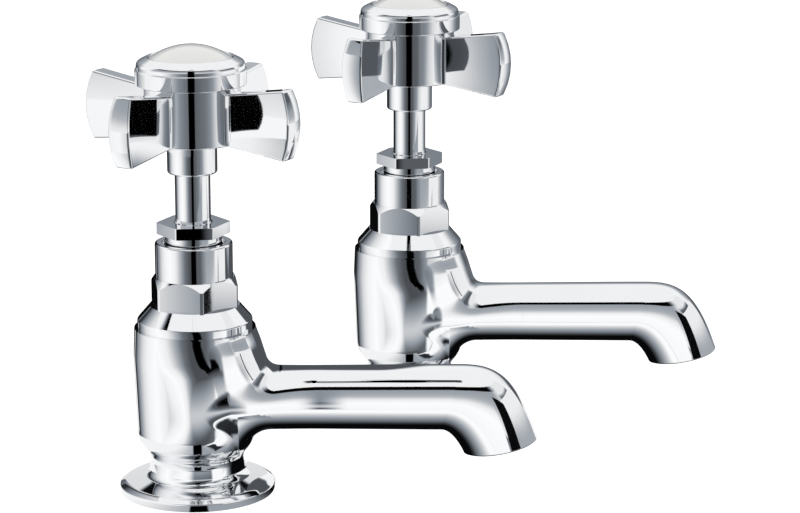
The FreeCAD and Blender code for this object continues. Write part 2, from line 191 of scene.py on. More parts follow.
# Gland nut, spindle and crosshead
gland_foot_z, gland_top_z = reach_of("gland_nut")[:2]
gland_hex_z = gland_top_z - 3.7
gland_flats = 20.3
gland_corner_cut = 0.12
gland_corner_angle = 5.5
gland_chamfer_angle = 45.0
gland_neck_r = 9.0
gland_neck_rise = 0.3
gland_bore_chamfer = 0.5
gland_sleeve_wall = 0.8
spindle_foot_z, spindle_top_z, spindle_foot_r = reach_of("spindle")
spindle_foot_round = 0.8
spindle_foot_top_z = 48.4
spindle_thread_r = 6.8
rod_r = 5.6
rod_foot_z = 67.4
tang_r = 4.0
tang_length = 7.7
rod_in_handle = 7.8
screw_hole_r = 4.1
collar_foot_z, hub_top_z = reach_of("crosshead")[:2]
collar_r = 7.9
collar_round = 0.8
hub_foot_z = collar_foot_z + 10.15
hub_r = 15.5
hub_round = 0.5
band_z = hub_foot_z + 18.15
band_r = 17.5
band_round = 0.35
cap_pocket_r = 13.35
cap_pocket_depth = 11.0
arm_root_depth = 0.8
arm_half = 3.02
arm_reach = 39.0
arm_corner_reach = 36.3
arm_root_top = 16.55
arm_root_drop = -0.1
arm_tip_top = 19.5
arm_tip_drop = 2.5
arm_edge_round = 0.6
arm_end_crown = 0.3
arm_root_round = 2.2
arm_root_share = 0.999
arm_root_swell = 0.15
arm_tip_swell = 0.82
first_arm_angle = -31.0

# Rows along an arm: from one share of its length to another, and how many
arm_close_rows = (0, 0.16, 18)
arm_wide_rows = (0.18, 1, 14)
arm_round_rows = 9
arm_side_parts = 6

# Index ring and dome
ring_foot_z, ring_top_z, ring_r = reach_of("index_ring")
ring_bore_r = 11.0
ring_skirt_gap = 0.05
ring_wall = 2.05
ring_shoulder_round = 1.7
ring_lip = 0.5
dome_foot_z, dome_top_z, dome_r = reach_of("index_dome")
dome_edge_z = dome_foot_z + 1.4
dome_seat_rise = 0.3

# Backnut
backnut_flats = 36.0
backnut_corner_r = 20.0
backnut_crown_r = 17.6
backnut_chamfer_angle = 30.0
backnut_flange_height = 1.6
backnut_flange_sunk = 0.2
backnut_edge_round = 0.4

ROUND_STEPS = 8
ROUND_ROOM = 0.49
MERGE_DIGITS = 4
TINY = 1e-6
QUARTER = math.pi / 2
TURN = np.radians(np.linspace(-180, 180, 145))
SLACK = 0.01


def stacked(*parts):
    """Points or directions from arrays of their parts, spread to one shape."""
    return np.stack(np.broadcast_arrays(*parts), -1)


def outline(corners):
    """Runs of points and tangents along corners (r, z, round): arcs tangent to both sides round a corner,
    and a corner without a round ends a run, so that its edge stays sharp."""
    points = [np.array(c[:2], float) for c in corners]
    runs, places, ways = [], [points[0]], []
    for i in range(1, len(points)):
        way = points[i] - points[i - 1]
        way = way / np.linalg.norm(way)
        if not ways:
            ways.append(way)
        last = i == len(points) - 1
        size = 0 if last or len(corners[i]) < 3 else corners[i][2]
        if not size:
            places.append(points[i])
            ways.append(way)
            runs.append((np.array(places), np.array(ways)))
            places, ways = [points[i]], []
            continue
        onward = points[i + 1] - points[i]
        room = min(np.linalg.norm(onward), np.linalg.norm(points[i] - points[i - 1]))
        onward = onward / np.linalg.norm(onward)
        bend = math.acos(np.clip(way @ onward, -1, 1))
        side = np.sign(way[0] * onward[1] - way[1] * onward[0])
        reach = min(size * math.tan(bend / 2), room * ROUND_ROOM)
        radius = reach / math.tan(bend / 2)
        centre = points[i] - way * reach + radius * side * np.array([-way[1], way[0]])
        for t in np.linspace(0, 1, ROUND_STEPS + 1):
            turn = side * bend * t
            heading = np.array([way[0] * math.cos(turn) - way[1] * math.sin(turn),
                                way[0] * math.sin(turn) + way[1] * math.cos(turn)])
            places.append(centre + radius * side * np.array([heading[1], -heading[0]]))
            ways.append(heading)
    return runs


def turned_grid(run, angles=TURN):
    """Surface of revolution of one run about the Z axis: point (r cos a, r sin a, z), normal to its right."""
    places, ways = run
    c, s = np.cos(angles), np.sin(angles)
    return (stacked(places[:, :1] * c, places[:, :1] * s, places[:, 1:]),
            stacked(ways[:, 1:] * c, ways[:, 1:] * s, -ways[:, :1]))


def turned(corners):
    """Grids of a solid of revolution: corners run with the solid on their left."""
    return [turned_grid(run) for run in outline(corners)]


def grid_normals(points, least=1e-12):
    """Normals of a grid from the cross product of its two directions."""
    down = np.gradient(points, axis=0)
    if np.allclose(points[:, 0], points[:, -1]):
        wide = np.concatenate([points[:, -2:-1], points, points[:, 1:2]], axis=1)
        across = (wide[:, 2:] - wide[:, :-2]) / 2
    else:
        across = np.gradient(points, axis=1)
    normals = np.cross(across, down)
    return normals / np.maximum(np.linalg.norm(normals, axis=-1, keepdims=True), least)


def grid_mesh(name, grids):
    """One mesh of several grids: equal points are merged, and corners keep each grid's own normals."""
    corners, normals, start = [], [], 0
    for points, across in grids:
        rows, cols = points.shape[:2]
        index = start + np.arange(rows * cols).reshape(rows, cols)
        start += rows * cols
        corners.append(np.stack([index[:-1, :-1], index[:-1, 1:], index[1:, 1:], index[1:, :-1]], -1)
                       .reshape(-1, 4))
        normals.append(across.reshape(-1, 3))
    everywhere = np.concatenate([points.reshape(-1, 3) for points, _ in grids])
    normals = np.concatenate(normals)
    corners = np.concatenate(corners)
    _, first, merged = np.unique(np.round(everywhere, MERGE_DIGITS), axis=0, return_index=True,
                                 return_inverse=True)
    places = everywhere[first]
    quads = merged.reshape(-1)[corners]
    same = quads == np.roll(quads, -1, axis=1)
    whole = ~same.any(axis=1)
    faces = quads[whole].tolist()
    shading = [normals[corners[whole]].reshape(-1, 3)]
    for side in range(4):
        thin = same[:, side] & (same.sum(axis=1) == 1)
        keep = [k for k in range(4) if k != side]
        faces += quads[thin][:, keep].tolist()
        shading.append(normals[corners[thin][:, keep]].reshape(-1, 3))
    mesh = bpy.data.meshes.new(name)
    mesh.from_pydata(places.tolist(), [], faces)
    mesh.polygons.foreach_set("use_smooth", np.ones(len(faces), bool))
    mesh.normals_split_custom_set(np.concatenate(shading).tolist())
    return mesh


def add_piece(tap, name, grids, body, material, replaced):
    """Puts a piece of one tap in its place, on its body and finish."""
    placed = [((points * MM + AXES[tap]) / MM, normals) for points, normals in grids]
    mesh = grid_mesh(tap + "_" + name, placed)
    coordinates = np.empty(len(mesh.vertices) * 3)
    mesh.vertices.foreach_get("co", coordinates)
    mesh.vertices.foreach_set("co", coordinates * MM)
    mesh.materials.append(material)
    piece = bpy.data.objects.new(tap + "_" + name, mesh)
    bpy.context.scene.collection.objects.link(piece)
    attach(piece, body)
    if replaced:
        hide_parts(*[tap + "_" + node for node in replaced])


# Body casting

# Outline from the flange's underside over its rim, shoulder and neck to the top; the barrel is its upper part
CASTING_PLACES, CASTING_WAYS = outline([
    (recess_r, 0), (underside_r, 0, underside_round), (flange_r, rim_z, rim_round),
    (shoulder_r, shoulder_z, shoulder_round), (neck_r, neck_z, neck_round), (waist_r, waist_z, waist_round),
    (bulb_r, bulb_z, bulb_round), (belly_r, belly_z, body_top_z), (body_top_r, body_top_z)])[0]
UPRIGHT = CASTING_PLACES[:, 1] > neck_z + neck_round
BARREL_PLACES, BARREL_WAYS = CASTING_PLACES[UPRIGHT], CASTING_WAYS[UPRIGHT]
BARREL_LEVELS = np.linspace(root_foot_z, body_top_z, 57)


def barrel_r(z):
    """Radius of the body at a height."""
    return np.interp(z, BARREL_PLACES[:, 1], BARREL_PLACES[:, 0])


def barrel_slope(z):
    """Change of that radius with height."""
    return np.interp(z, BARREL_PLACES[:, 1], BARREL_WAYS[:, 0] / BARREL_WAYS[:, 1])


def soft_min(a, b, soft):
    """Smaller of two distances, with a rounded valley where they are nearly equal."""
    soft = np.maximum(soft, TINY)
    return np.minimum(a, b) - np.maximum(soft - np.abs(a - b), 0) ** 2 / (4 * soft)


def ramp(x, low, high):
    """Smooth step from 0 at low to 1 at high."""
    t = np.clip((x - low) / (high - low), 0, 1)
    return t * t * (3 - 2 * t)


def spout_r(x):
    """Radius of the straight spout, which thickens a little towards its bend."""
    return spout_root_r + (spout_bend_r - spout_root_r) * np.minimum(x, spout_straight) / spout_straight


def flare_sizes(x):
    """Half width and reach below the axis of the spout's root at x."""
    share = np.clip((x - flare_start_x) / (spout_start_x - flare_start_x), 0, 1)
    fade = (1 - share) ** 2 * (1 + flare_share * share)
    along = np.clip((x - gusset_start_x) / gusset_length, 0, 1)
    plain = spout_r(x)
    return plain + (flare_side_r - plain) * fade, plain + gusset_drop * (1 - along) ** gusset_power


def root_distance(p):
    """Signed distance, near enough, to the barrel with its slanted wall and the spout's root.
    The barrel and the wall are circles at each height and the root is an oval at each x; the three are
    joined by rounded valleys."""
    x, y, z = p[..., 0], p[..., 1], p[..., 2]
    barrel = (np.hypot(x, y) - barrel_r(z)) / np.sqrt(1 + barrel_slope(z) ** 2)
    up = (z - spout_z) / (body_top_z - spout_z)
    wall = np.hypot(x - wall_foot_shift * (1 - up) - wall_top_shift * up, y)
    wall = (wall - wall_foot_r * (1 - up) - wall_top_r * up) * wall_lean
    wall = np.maximum(wall, (spout_z - z) * wall_foot_lean)
    side, low = flare_sizes(x)
    reach = np.where(z > spout_z, spout_r(x), low)
    rim = np.sqrt((y / side) ** 2 + ((z - spout_z) / reach) ** 2)
    steep = np.sqrt((y / side ** 2) ** 2 + ((z - spout_z) / reach ** 2) ** 2)
    spout = (rim - 1) * rim / np.maximum(steep, TINY)
    fade = ramp(x, *wall_soft_x) * ramp(-z, -body_top_z, -body_top_z + wall_soft_depth)
    shell = soft_min(barrel, wall, wall_soft * fade)
    fade = ramp(x, *crease_soft_x) * (crease_foot_share + (1 - crease_foot_share) * ramp(z, *crease_soft_z))
    return soft_min(shell, spout, crease_soft * fade)


def root_normals(p, reach=0.02):
    """Directions in which that distance grows fastest, by central differences."""
    ways = np.stack([root_distance(p + move) - root_distance(p - move) for move in reach * np.eye(3)], -1)
    return ways / np.linalg.norm(ways, axis=-1, keepdims=True)


def root_rim():
    """Closed line round the front half of the barrel: top rim, one side, low circle, other side.
    It starts and ends above the spout, and runs towards -Y first."""
    front = TURN[np.abs(TURN) < QUARTER + SLACK]
    half = len(front) // 2
    down, up = front[half::-1], front[:half - 1:-1]
    levels = BARREL_LEVELS[::-1]
    near = stacked(0, -barrel_r(levels), levels)
    far = near[::-1] * [1, -1, 1]
    arcs = ((body_top_r, down, body_top_z), (barrel_r(root_foot_z), front, root_foot_z),
            (body_top_r, up, body_top_z))
    first, low, last = [stacked(r * np.cos(a), r * np.sin(a), z) for r, a, z in arcs]
    return np.concatenate([first] + [part[1:] for part in (near, low, far, last)])


ROOT_RIM = root_rim()
RING_ANGLES = np.arctan2(ROOT_RIM[:, 1], ROOT_RIM[:, 2] - spout_z)


def root_grid(rows=130):
    """Front of the barrel and the spout's root: from each point of the barrel's line a chord runs to the
    spout's ring at the same angle, and across each chord point a ray is followed to the surface."""
    ring = stacked(spout_start_x, spout_r(spout_start_x) * np.sin(RING_ANGLES),
                   spout_z + spout_r(spout_start_x) * np.cos(RING_ANGLES))
    share = np.linspace(0, 1, rows)[:, None, None]
    chord = ROOT_RIM * (1 - share) + ring * share
    away = ROOT_RIM * [1, 1, 0]
    away = away / np.linalg.norm(away, axis=-1, keepdims=True)
    out = (ring - [spout_start_x, 0, spout_z]) / spout_r(spout_start_x)
    rays = away * (1 - share) + out * share
    rays = rays / np.linalg.norm(rays, axis=-1, keepdims=True)
    outside = np.full(chord.shape[:2], ray_out)
    found = np.zeros(chord.shape[:2], bool)
    inside = outside.copy()
    for t in np.arange(ray_out, ray_in, -ray_step):
        hit = ~found & (root_distance(chord + rays * t) < 0)
        inside[hit] = t
        outside[hit] = t + ray_step
        found |= hit
    for _ in range(ray_halvings):
        middle = (inside + outside) / 2
        within = root_distance(chord + rays * middle[..., None]) < 0
        inside = np.where(within, middle, inside)
        outside = np.where(within, outside, middle)
    points = chord + rays * ((inside + outside) / 2)[..., None]
    points[0], points[-1] = chord[0], chord[-1]
    normals = root_normals(points)
    normals[-1] = out
    return points, normals


def bezier(points, t):
    """Points of a cubic curve at shares t."""
    a, b, c, d = [np.array(p, float) for p in points]
    t = t[:, None]
    return a * (1 - t) ** 3 + b * (3 * t * (1 - t) ** 2) + c * (3 * t * t * (1 - t)) + d * t ** 3


def bend_lines(t):
    """Crown and throat of the spout's bend, as points (x, z) at shares t."""
    angle = math.radians(crown_angle)
    crown_z, throat_z = spout_z + spout_bend_r, spout_z - spout_bend_r
    crown = [(crown_start_x, crown_z), (crown_start_x + crown_lead, crown_z),
             (mouth_outer[0] - crown_drop * math.cos(angle), mouth_outer[1] + crown_drop * math.sin(angle)),
             mouth_outer]
    corner = np.array([throat_start_x + throat_lead, throat_z])
    throat = [(throat_start_x, throat_z), corner,
              corner * (1 - throat_share) + np.array(mouth_inner) * throat_share, mouth_inner]
    return bezier(crown, t), bezier(throat, t)


def oval_rows(high, low, side, wall, angles):
    """Ovals across the spout between its lines high and low, drawn in by a wall."""
    middle, across = (high + low) / 2, high - low
    reach = np.linalg.norm(across, axis=1, keepdims=True) / 2
    across = across / (2 * reach)
    flat = middle[:, None] + across[:, None] * ((reach - wall[:, None]) * np.cos(angles))[..., None]
    wide = (side - wall)[:, None] * np.sin(angles)
    return stacked(flat[..., 0], wide, flat[..., 1])


def spout_lines(first_x, straight_rows, bend_rows, last=1.0):
    """Lines and half width of the spout from first_x to its mouth, and the share of the bend."""
    s = np.linspace(0, 1, straight_rows)[:-1]
    top_x = first_x + (crown_start_x - first_x) * s
    low_x = first_x + (throat_start_x - first_x) * s
    t = np.linspace(0, last, bend_rows)
    crown, throat = bend_lines(t)
    high = np.concatenate([stacked(top_x, spout_z + spout_r(top_x)), crown])
    low = np.concatenate([stacked(low_x, spout_z - spout_r(low_x)), throat])
    side = np.concatenate([spout_r((top_x + low_x) / 2), spout_bend_r + (mouth_side_r - spout_bend_r) * t])
    return high, low, side, np.concatenate([0 * s, t])


def spout_grids():
    """Outside of the spout from its root to its mouth, the rounded lip, and the blind waterway inside."""
    before_lip = 0.98
    high, low, side, _ = spout_lines(spout_start_x, 10, 50, before_lip)
    outside = oval_rows(high, low, side, 0 * side, RING_ANGLES)
    high, low, side, _ = spout_lines(spout_start_x, 2, 2)
    high, low, side = high[-1:], low[-1:], side[-1:]
    forward = np.array([low[0, 1] - high[0, 1], high[0, 0] - low[0, 0]])
    forward = forward / np.linalg.norm(forward) * -1
    turns = np.radians(np.linspace(0, 180, 13))
    inset = np.where(turns < QUARTER, lip_round * (1 - np.cos(turns)),
                     mouth_wall - lip_round * (1 + np.cos(turns)))
    push = -lip_round * (1 - np.sin(turns))
    lip = np.concatenate([oval_rows(high, low, side, np.array([i]), RING_ANGLES)
                          + np.array([forward[0], 0, forward[1]]) * p for i, p in zip(inset, push)])
    high, low, side, t = spout_lines(passage_start_x, 12, 40, before_lip)
    thick = spout_bend_r - passage_r
    wall = np.where(t > 0, thick + (mouth_wall - thick) * t, side - passage_r)
    inside = oval_rows(high, low, side, wall, RING_ANGLES)[::-1]
    inside[-1] = inside[-1].mean(axis=0)
    outer = np.concatenate([outside, lip, inside])
    return [(outer, grid_normals(outer))]


def body_grids():
    """Whole casting: flange, waist, barrel, spout, tail and the waterway up through it."""
    flange = turned([(inlet_r, tail_foot_z), (tail_r - thread_depth, tail_foot_z),
                     (tail_r - thread_depth, recess_z), (recess_r, recess_z), (recess_r, 0)])
    keep = CASTING_PLACES[:, 1] < root_foot_z
    slope = barrel_slope(root_foot_z)
    end = np.array([slope, 1]) / math.hypot(slope, 1)
    flange.append(turned_grid((np.vstack([CASTING_PLACES[keep], [barrel_r(root_foot_z), root_foot_z]]),
                               np.vstack([CASTING_WAYS[keep], end]))))
    slopes = barrel_slope(BARREL_LEVELS)
    back = stacked(barrel_r(BARREL_LEVELS), BARREL_LEVELS), stacked(slopes, 1) / np.hypot(slopes, 1)[:, None]
    back_grids = [turned_grid(back, TURN[side * TURN > QUARTER - SLACK]) for side in (-1, 1)]
    inner = turned([(body_top_r, body_top_z), (washer_recess_r, body_top_z),
                    (washer_recess_r, body_top_z - washer_recess_depth),
                    (headwork_bore_r, body_top_z - washer_recess_depth),
                    (headwork_bore_r, seat_z - seat_lip_height), (seat_lip_r, seat_z - seat_lip_height),
                    (seat_lip_r, seat_z), (seat_hole_r, seat_z),
                    (seat_hole_r, inlet_top_z + inlet_r - seat_hole_r), (inlet_r, inlet_top_z),
                    (inlet_r, tail_foot_z)])
    return flange + back_grids + inner + [root_grid()] + spout_grids()


def thread_grid(crest_r, low, high, pitch, depth, columns=96, rows_per_turn=8):
    """Screw thread: radius falls from crest to root along z with a triangle wave that turns with the angle,
    and fades into the core at both ends. Flat ends and an inner wall close it into a ring."""
    angles = np.linspace(0, 2 * math.pi, columns + 1)
    levels = np.linspace(low, high, int((high - low) / pitch * rows_per_turn) + 1)[:, None]
    wave = np.abs(((levels / pitch - angles / (2 * math.pi)) % 1) * 2 - 1)
    wave = ramp(wave, thread_flat, 1 - thread_flat)
    fade = ramp(levels, low, low + pitch) * ramp(-levels, -high, -high + pitch)
    r = crest_r - depth + depth * (1 - wave) * fade
    points = stacked(r * np.cos(angles), r * np.sin(angles), levels)
    under = points * [thread_ring_share, thread_ring_share, 1]
    normals, end = grid_normals(points), 0 * points[:2] + [0, 0, 1]
    return [(points, normals), (np.stack([points[-1], under[-1]]), end),
            (np.stack([under[-1], under[0]]), -normals[:2]), (np.stack([under[0], points[0]]), -end)]


def tail_thread_grids():
    """Thread round the tail, a hair into its core."""
    return thread_grid(tail_r, tail_foot_z, thread_top_z, thread_pitch, thread_depth + hair)


# Headwork, gland and spindle

def hexagon_columns(flats, corner_r, corner_angle, soften=0.12, corner_points=5, flat_points=15):
    """Plan of a hexagon whose corners a cylinder cuts off: angle, radius and direction of the normal, with
    a narrow strip between flat and corner over which the normal turns."""
    half = math.acos(min(flats / 2 / corner_r, 1))
    cut = math.pi / 6 - half
    edge = soften / corner_r
    corners = np.radians(corner_angle + 60 * np.arange(6))[:, None]
    faces = corners + math.pi / 6
    near_corner = corners + np.linspace(-cut + edge / 2, cut - edge / 2, corner_points)
    near_face = np.linspace(-half + edge / 2, half - edge / 2, flat_points)
    angles = np.concatenate([near_corner, faces + near_face], 1).ravel()
    ways = np.concatenate([near_corner, faces + 0 * near_face], 1).ravel()
    angles, ways = [np.append(a, a[0] + 2 * math.pi) for a in (angles, ways)]
    offset = (angles - corners[0]) % (math.pi / 3) - math.pi / 6
    return angles, np.minimum(flats / 2 / np.cos(offset), corner_r), ways


def hexagon_grids(flats, corner_r, corner_angle, low, high, crown_r, chamfer_angle, inner_r,
                  chamfer_below=False):
    """Hexagon with its corners turned off: flat sides up to the line where a cone cuts them, the cone up to
    the crown, plain ends in to inner_r, and a round wall inside."""
    angles, radii, ways = hexagon_columns(flats, corner_r, corner_angle)
    c, s = np.cos(angles), np.sin(angles)
    chamfer = math.radians(chamfer_angle)
    over = np.maximum(radii - crown_r, 0)
    crown, drop = radii - over, over * math.tan(chamfer)
    top, foot = high - drop, low + drop if chamfer_below else low

    def wall(r_low, z_low, r_high, z_high, across):
        ends = [stacked(r * c, r * s, z) for r, z in ((r_low, z_low), (r_high, z_high))]
        return np.stack(ends), np.stack([across, across])

    cone = stacked(c * math.sin(chamfer), s * math.sin(chamfer), math.cos(chamfer))
    up = stacked(0 * c, 0 * c, 1)
    grids = [wall(radii, foot, radii, top, stacked(np.cos(ways), np.sin(ways), 0)),
             wall(radii, top, crown, high, cone), wall(crown, high, inner_r, high, up),
             wall(inner_r, high, inner_r, low, stacked(-c, -s, 0))]
    if chamfer_below:
        return grids + [wall(crown, low, radii, foot, cone * [1, 1, -1]), wall(inner_r, low, crown, low, -up)]
    return grids + [wall(inner_r, low, radii, low, -up)]


def headwork_grids():
    """Bonnet: skirt, band and cone, hexagon with a turned crown, and the barrel with the gland's mouth."""
    mouth_z = barrel_top_z - gland_mouth_depth
    shell = turned([(chamber_r, skirt_foot_z), (headwork_thread_r, skirt_foot_z),
                    (headwork_thread_r, body_top_z), (headwork_r, body_top_z),
                    (headwork_r, band_top_z, headwork_round), (cone_top_r, cone_top_z),
                    (headwork_barrel_r, cone_top_z), (headwork_barrel_r, barrel_top_z, barrel_edge_round),
                    (gland_mouth_r, barrel_top_z, gland_mouth_round), (gland_mouth_r, mouth_z),
                    (stuffing_r, mouth_z), (stuffing_r, stuffing_foot_z), (relief_r, stuffing_foot_z),
                    (relief_r, relief_foot_z), (nut_thread_r, relief_foot_z), (nut_thread_r, chamber_top_z),
                    (chamber_r, chamber_top_z), (chamber_r, skirt_foot_z)])
    return shell + hexagon_grids(hex_flats, hex_corner_r, hex_corner_angle, cone_top_z - hex_foot_depth,
                                 hex_top_z, hex_flats / 2, hex_chamfer_angle, headwork_barrel_r - hex_sunk)


def gland_grids():
    """Gland nut: thin hexagon, and a round neck and a sleeve up through it, bored for the rod."""
    bore_r = rod_r + part_gap
    sleeve_r, sleeve_top_z = bore_r + gland_sleeve_wall, gland_top_z - hair
    neck_top_z = gland_hex_z + gland_neck_rise
    corner_r = gland_flats / 2 / math.cos(math.pi / 6) - gland_corner_cut
    hexagon = hexagon_grids(gland_flats, corner_r, gland_corner_angle, gland_hex_z, gland_top_z,
                            corner_r - gland_corner_cut, gland_chamfer_angle, bore_r + gland_bore_chamfer,
                            True)
    return hexagon + turned([(bore_r, gland_foot_z), (gland_neck_r, gland_foot_z), (gland_neck_r, neck_top_z),
                             (sleeve_r, neck_top_z), (sleeve_r, sleeve_top_z),
                             (bore_r + gland_bore_chamfer, sleeve_top_z),
                             (bore_r, gland_top_z - gland_bore_chamfer), (bore_r, gland_foot_z)])


def spindle_grids():
    """Spindle: foot, threaded length, polished rod up to the handle's web, and the tang through the web."""
    return turned([(0, spindle_foot_z), (spindle_foot_r, spindle_foot_z, spindle_foot_round),
                   (spindle_foot_r, spindle_foot_top_z), (spindle_thread_r, spindle_foot_top_z),
                   (spindle_thread_r, rod_foot_z), (rod_r, rod_foot_z), (rod_r, spindle_top_z - tang_length),
                   (tang_r, spindle_top_z - tang_length), (tang_r, spindle_top_z), (0, spindle_top_z)])


# Crosshead

def rounded_loop(half_y, half_z, corner, steps=8):
    """Points of a rounded rectangle about the X axis: arrays over its rows of half sizes and corner."""
    quarter = np.radians(np.linspace(0, 90, steps + 1))
    y, z = [], []
    for sign_y, sign_z in ((1, 1), (1, -1), (-1, -1), (-1, 1)):
        turn = quarter if sign_y == sign_z else quarter[::-1]
        y.append(sign_y * (half_y[:, None] - corner[:, None] * (1 - np.sin(turn))))
        z.append(sign_z * (half_z[:, None] - corner[:, None] * (1 - np.cos(turn))))
    y, z = np.concatenate(y, 1)[:, ::-1], np.concatenate(z, 1)[:, ::-1]
    return np.concatenate([y, y[:, :1]], 1), np.concatenate([z, z[:, :1]], 1)


def densify(points, parts):
    """Adds points between those of each row, so that long sides can be curved."""
    shares = np.arange(parts) / parts
    start, end = points[:, :-1, None], points[:, 1:, None]
    filled = start + (end - start) * shares[None, None, :, None]
    return np.concatenate([filled.reshape(len(points), -1, points.shape[-1]), points[:, -1:]], 1)


def swung(points, angle):
    """Points or directions turned about the Z axis by an angle in degrees."""
    x, y, z = np.moveaxis(points, -1, 0)
    c, s = math.cos(math.radians(angle)), math.sin(math.radians(angle))
    return stacked(x * c - y * s, x * s + y * c, z)


def arm_grid(angle):
    """One paddle: a section with bulged sides and rounded corners is carried outwards between the arm's two
    edges. It is thickened by an arc where it leaves the hub, its rows bow outwards to the arc of its end,
    and it closes over the end and to the middle of its root."""
    inner = cap_pocket_r + arm_root_depth
    sagitta = arm_reach - arm_corner_reach
    tip_half = (arm_tip_top + arm_tip_drop) / 2
    bow_r = (tip_half ** 2 + sagitta ** 2) / (2 * sagitta)
    run = np.concatenate([np.linspace(*arm_close_rows), np.linspace(*arm_wide_rows)])
    edge = np.radians(np.linspace(0, 90, arm_round_rows))[1:]
    cap = np.linspace(1, 0, arm_round_rows)[1:]
    share = np.concatenate([run, 1 + 0 * edge, 1 + 0 * cap])
    shrink = np.concatenate([1 + 0 * run, 1 + 0 * edge, cap])
    turn = np.concatenate([0 * run, edge, QUARTER + 0 * cap])
    back, inset, corner = arm_edge_round * np.stack([1 - np.sin(turn), 1 - np.cos(turn), np.cos(turn)])
    centre_x = math.sqrt((hub_r + arm_root_round) ** 2 - (arm_half + arm_root_round) ** 2)
    x_mid = inner + share * (arm_corner_reach - inner)
    along = np.minimum((x_mid - hub_r) / (arm_corner_reach - hub_r), 1)
    top = hub_foot_z + arm_root_top + (arm_tip_top - arm_root_top) * along
    foot = hub_foot_z - arm_root_drop - (arm_tip_drop - arm_root_drop) * along
    half_z = ((top - foot) / 2 - inset) * shrink
    gap = np.clip(centre_x - x_mid, 0, arm_root_round * arm_root_share)
    fillet = arm_root_round - np.sqrt(arm_root_round ** 2 - gap ** 2)
    half_y = (arm_half - inset) * shrink + fillet
    y, z = rounded_loop(half_y, half_z, np.minimum(corner, arm_edge_round))
    y, z = np.moveaxis(densify(stacked(y, z), arm_side_parts), -1, 0)
    bulge = (arm_root_swell + (arm_tip_swell - arm_root_swell) * np.clip(along, 0, 1)) * shrink
    level = z / np.maximum(half_z[:, None], TINY)
    y = y * (1 + bulge[:, None] / np.maximum(half_y[:, None], TINY) * (1 - level ** 2))
    x = x_mid[:, None] + share[:, None] * (np.sqrt(bow_r ** 2 - z ** 2) - bow_r + sagitta) - back[:, None]
    x = x - (share[:, None] >= 1) * arm_end_crown * (y / arm_half) ** 2
    end = stacked(np.sqrt(bow_r ** 2 - z ** 2), 2 * arm_end_crown * bow_r * y / arm_half ** 2, z)
    end = end / np.linalg.norm(end, axis=-1, keepdims=True)
    points = swung(stacked(x, y, z + ((top + foot) / 2)[:, None]), angle)
    normals = grid_normals(points)
    first = len(run) + len(edge) - 1
    normals[first:] = swung(end[first:], angle)
    root = points[:1].mean(axis=1, keepdims=True) + 0 * points[:1]
    return np.concatenate([root, points]), np.concatenate([normals[:1], normals])


def crosshead_grids():
    """Handle: collar, hub and cap band turned in one, bored for the rod, and four paddles."""
    bore_r, web_z, floor_z = rod_r + part_gap, collar_foot_z + rod_in_handle, hub_top_z - cap_pocket_depth
    hub = turned([(bore_r, collar_foot_z), (collar_r, collar_foot_z, collar_round), (collar_r, hub_foot_z),
                  (hub_r, hub_foot_z, hub_round), (hub_r, band_z), (band_r, band_z, band_round),
                  (band_r, hub_top_z, band_round), (cap_pocket_r, hub_top_z), (cap_pocket_r, floor_z),
                  (screw_hole_r, floor_z), (screw_hole_r, web_z), (bore_r, web_z), (bore_r, collar_foot_z)])
    return hub + [arm_grid(first_arm_angle + 90 * i) for i in range(4)]


def ring_grids():
    """Index ring: threaded skirt in the hub, rounded shoulder, and the lip round the dome."""
    skirt_r, seat_r = cap_pocket_r - ring_skirt_gap, dome_r + part_gap
    return turned([(ring_bore_r, ring_foot_z), (skirt_r, ring_foot_z), (skirt_r, hub_top_z),
                   (ring_r, hub_top_z), (ring_r, hub_top_z + ring_wall, ring_shoulder_round),
                   (seat_r + ring_lip, ring_top_z, ring_lip), (seat_r, dome_edge_z + dome_seat_rise),
                   (seat_r, dome_foot_z), (ring_bore_r, dome_foot_z), (ring_bore_r, ring_foot_z)])


def dome_grids():
    """Porcelain dome: a cap of a sphere whose edge is eased into a short side."""
    rise = dome_top_z - dome_edge_z
    ball_r = (dome_r ** 2 + rise ** 2) / (2 * rise)
    r = dome_r * np.sin(np.linspace(QUARTER, 0, 25))
    z = dome_top_z - ball_r + np.sqrt(ball_r ** 2 - r ** 2)
    cap = stacked(r, z), stacked(-np.sqrt(ball_r ** 2 - r ** 2), r) / ball_r
    return turned([(0, dome_foot_z), (dome_r, dome_foot_z), (dome_r, dome_edge_z)]) + [turned_grid(cap)]


# Pieces under the rim

def backnut_grids():
    """Backnut: chamfered hexagon with a round flange above, bored to the tail's thread."""
    low, high, flange = reach_of("backnut")
    bore, foot = tail_r + hair, high - backnut_flange_height
    hexagon = hexagon_grids(backnut_flats, backnut_corner_r, 0, low, foot + backnut_flange_sunk,
                            backnut_crown_r, backnut_chamfer_angle, bore, True)
    return hexagon + turned([(bore, foot), (flange, foot, backnut_edge_round),
                             (flange, high, backnut_edge_round), (bore, high), (bore, foot)])


def washer_grids(piece, edge):
    """Plain washer with rounded edges, at the size that the frame gives it."""
    low, high, outer = reach_of(piece)
    inner = tail_r + part_gap
    middle = (inner + outer) / 2
    return turned([(middle, low), (outer, low, edge), (outer, high, edge), (inner, high, edge),
                   (inner, low, edge), (middle, low)])


# Finishes

class Value:
    """A socket of a shader node, so that sums and products of sockets add their Math nodes."""

    def __init__(self, finish, socket):
        self.finish, self.socket = finish, socket

    def maths(self, operation, *others):
        settings = {"operation": operation}
        return self.finish.node("ShaderNodeMath", settings, {i: v for i, v in enumerate((self,) + others)})

    def __add__(self, other):
        return self.maths("ADD", other)

    __radd__ = __add__

    def __mul__(self, other):
        return self.maths("MULTIPLY", other)

    __rmul__ = __mul__

    def __sub__(self, other):
        return self.maths("SUBTRACT", other)

    def __rsub__(self, other):
        return self.finish.node("ShaderNodeMath", {"operation": "SUBTRACT"}, {0: other, 1: self})


